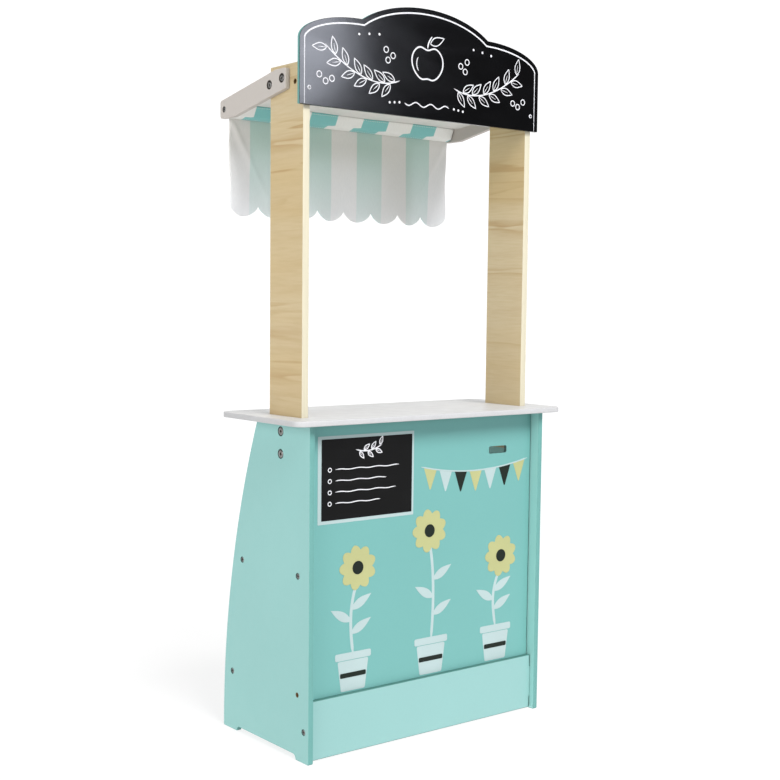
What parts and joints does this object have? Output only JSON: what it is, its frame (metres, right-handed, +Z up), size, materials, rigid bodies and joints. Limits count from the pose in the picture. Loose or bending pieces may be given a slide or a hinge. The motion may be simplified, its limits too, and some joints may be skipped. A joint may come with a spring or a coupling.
{
  "type": "toy market stall",
  "caption": "Child's wooden play market stall: teal cabinet with curved sides and shelves, white counter, wood-grain posts, arched black sign and a striped cloth awning with a scalloped edge.",
  "frame": {"origin": "on the floor, in the middle of the stall's footprint box", "axes": "+Z up, +Y from the customers' front to the shopkeeper's side, +X to the right as the customers see it"},
  "size_m": [0.566, 0.285, 1.203],
  "materials": {
    "teal_paint": "satin paint on fibreboard",
    "front_paint": "satin paint with a printed scene",
    "counter_white": "satin white paint",
    "post_pine": "pine-grain finish with pale edges",
    "sign_black": "smooth black paint with chalk-white lines",
    "arm_white": "satin off-white paint",
    "dowel_wood": "bare sanded wood",
    "awning_fabric": "thin woven cloth with mint and white stripes",
    "bolt_steel": "zinc-plated"
  },
  "bodies": {
    "root": {"left_side_panel": "teal_paint", "right_side_panel": "teal_paint", "front_panel": "front_paint", "plinth_board": "teal_paint", "bottom_shelf": "teal_paint", "middle_shelf": "teal_paint", "counter_top": "counter_white", "left_post": "post_pine", "right_post": "post_pine", "sign_board": "sign_black", "left_awning_arm": "arm_white", "right_awning_arm": "arm_white", "upper_dowel": "dowel_wood", "outer_dowel": "dowel_wood", "awning_cloth": "awning_fabric", "outer_dowel_sleeve": "awning_fabric"}
  },
  "joints": []
}
